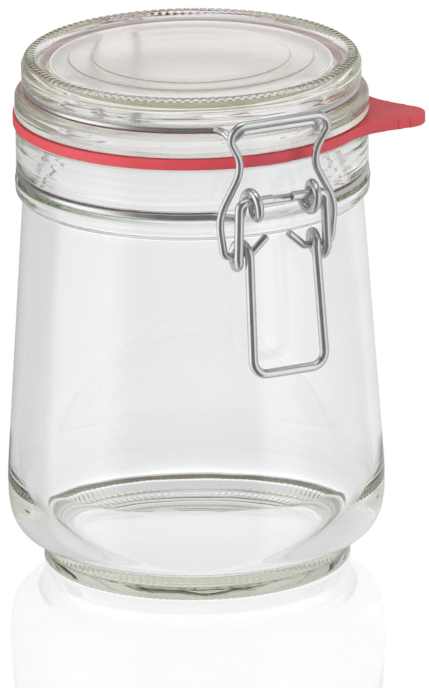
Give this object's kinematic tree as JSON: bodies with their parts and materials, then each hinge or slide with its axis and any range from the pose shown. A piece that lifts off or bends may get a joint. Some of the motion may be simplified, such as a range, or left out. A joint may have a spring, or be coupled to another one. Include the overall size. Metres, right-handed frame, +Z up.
{
  "type": "airtight glass preserving jar",
  "caption": "Clear glass preserving jar with a hinged glass lid, red rubber gasket with a pull tab, and a steel wire lever clamp.",
  "frame": {"origin": "on the standing surface, under the middle of the whole object's box; the jar's own axis is at x = -0.0021, y = 0.0010", "axes": "+Z up along the jar's height, -Y towards the lever clamp, +Y towards the lid's hinge, +X towards the side with the gasket's tab"},
  "size_m": [0.1198, 0.1308, 0.16],
  "materials": {
    "glass": "clear pressed soda-lime glass, faintly green in thick places",
    "lid_glass": "clear pressed soda-lime glass with a knurled rim",
    "rubber": "matt red natural rubber",
    "steel_wire": "drawn galvanised steel wire, satin"
  },
  "bodies": {
    "jar": {"glass_jar": "glass", "neck_wire": "steel_wire"},
    "lid": {"glass_lid": "lid_glass", "gasket": "rubber", "lid_wire": "steel_wire"},
    "lever": {"lever_wire": "steel_wire"},
    "bail": {"bail_wire": "steel_wire"}
  },
  "joints": [
    {"name": "lid_hinge", "type": "hinge", "parent": "jar", "child": "lid", "pos_m": [-0.00209, 0.0612, 0.127], "axis": [-1, 0, 0], "range_deg": [0, 110]},
    {"name": "lever_hinge", "type": "hinge", "parent": "jar", "child": "lever", "pos_m": [-0.00209, -0.06, 0.1302], "axis": [-1, 0, 0], "range_deg": [0, 100]},
    {"name": "bail_hinge", "type": "hinge", "parent": "lever", "child": "bail", "pos_m": [-0.00209, -0.0565, 0.1131], "axis": [1, 0, 0], "range_deg": [0, 150]}
  ],
  "couplings": [
    {"joint": "bail_hinge", "follows": "lever_hinge", "ratio": 1.5}
  ]
}
